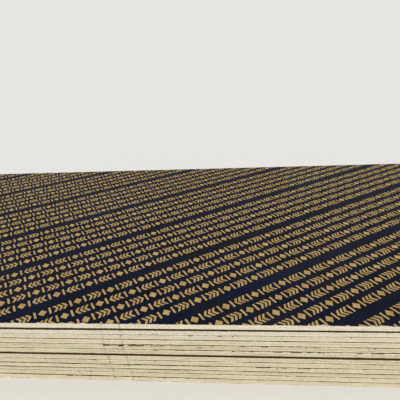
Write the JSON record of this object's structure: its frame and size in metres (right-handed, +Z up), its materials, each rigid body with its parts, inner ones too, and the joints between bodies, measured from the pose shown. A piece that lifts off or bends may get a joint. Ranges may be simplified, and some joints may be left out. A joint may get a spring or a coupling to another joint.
{
  "type": "stack of plywood sheets",
  "caption": "Flat stack of full-size film-faced plywood sheets with pale laminated edges, lying slightly out of line, as kept for formwork and building.",
  "frame": {"origin": "on the ground, at the middle of the stack's plan", "axes": "+X along the sheets' long side, +Y from the front long edge to the back one, +Z up through the stack"},
  "size_m": [2.4567, 1.2373, 0.21],
  "materials": {
    "plywood": "sawn and unsealed, pale veneers in thin layers with fine dark glue lines",
    "film_faced_plywood": "smooth dark resin film with a gold print of plain marks, over pale veneers at the edges"
  },
  "bodies": {
    "root": {"sheet_01": "film_faced_plywood", "sheet_02": "plywood", "sheet_03": "plywood", "sheet_04": "plywood", "sheet_05": "plywood", "sheet_06": "plywood", "sheet_07": "plywood", "sheet_08": "plywood", "sheet_09": "plywood", "sheet_10": "plywood", "sheet_11": "plywood", "sheet_12": "plywood"}
  },
  "joints": []
}
